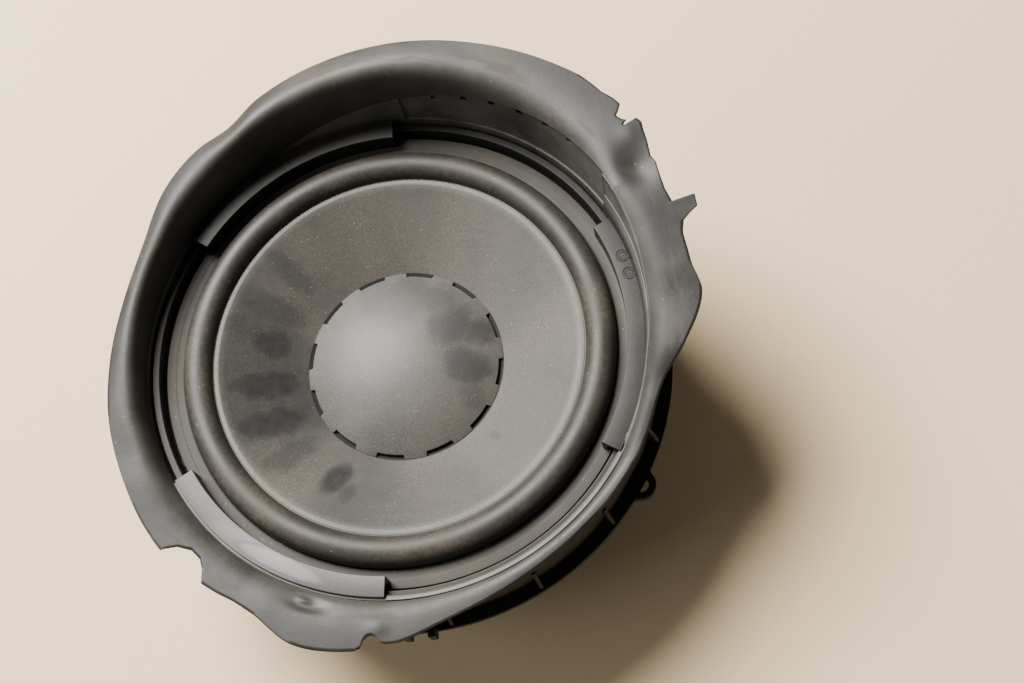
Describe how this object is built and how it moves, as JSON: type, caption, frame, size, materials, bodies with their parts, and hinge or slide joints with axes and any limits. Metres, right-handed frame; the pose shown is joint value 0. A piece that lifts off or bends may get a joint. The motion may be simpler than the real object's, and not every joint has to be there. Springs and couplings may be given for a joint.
{
  "type": "car subwoofer speaker",
  "caption": "Round car door woofer in a moulded adapter ring with hold-down arcs, mounting ears and a flared soft sealing lip that is higher on one side.",
  "frame": {"origin": "centre of the mounting-hole circle, on the rear face of the adapter's flange", "axes": "+Z along the cone's axis, out of the front; +X towards the middle of one hold-down arc, on the high side of the collar; the connector socket points to -Y"},
  "size_m": [0.2379, 0.241, 0.1195],
  "materials": {
    "adapter_plastic": "fine moulded grain, talc-filled polypropylene, dusty",
    "lip_rubber": "satin soft elastomer with brown dust and scuffs on the roll",
    "seal_rubber": "matt soft elastomer",
    "basket_plastic": "glass-filled moulding, matt",
    "gasket_board": "flat ring, dusty grey-brown",
    "surround_rubber": "smooth butyl roll with a soft sheen",
    "cone_poly": "mineral-filled polypropylene, dusty, dark blotches",
    "cap_poly": "mineral-filled polypropylene, lighter, stained",
    "former_film": "amber polyimide film",
    "coil_copper": "enamelled copper wire in close turns",
    "eyelet_brass": "stamped, with solder",
    "spider_cloth": "resin-stiffened cotton weave, corrugated",
    "plate_steel": "zinc plated, turned",
    "magnet_ferrite": "sintered ferrite, ground faces",
    "sleeve_copper": "thin drawn copper sleeve",
    "screen_mesh": "fine woven steel mesh",
    "screw_steel": "zinc plated",
    "block_plastic": "glass-filled nylon",
    "blade_tin": "tinned brass blades",
    "lead_braid": "braided copper tinsel over textile"
  },
  "bodies": {
    "housing": {"adapter_ring": "adapter_plastic", "sealing_lip": "lip_rubber", "flange_seal": "seal_rubber", "basket": "basket_plastic", "front_gasket": "gasket_board", "surround": "surround_rubber", "spider": "spider_cloth", "top_plate": "plate_steel", "magnet": "magnet_ferrite", "yoke": "plate_steel", "shorting_ring": "sleeve_copper", "vent_screen": "screen_mesh", "motor_screws": "screw_steel", "terminal_block": "block_plastic", "terminal_blades": "blade_tin", "tinsel_leads": "lead_braid"},
    "diaphragm": {"cone": "cone_poly", "dust_cap": "cap_poly", "voice_coil_former": "former_film", "coil_winding": "coil_copper", "lead_eyelets": "eyelet_brass"}
  },
  "joints": [
    {"name": "cone_travel", "type": "slide", "parent": "housing", "child": "diaphragm", "axis": [0, 0, 1], "range_m": [-0.006, 0.006], "stiffness_N_per_m": 1500, "deforming": ["surround", "spider", "tinsel_leads"]}
  ]
}
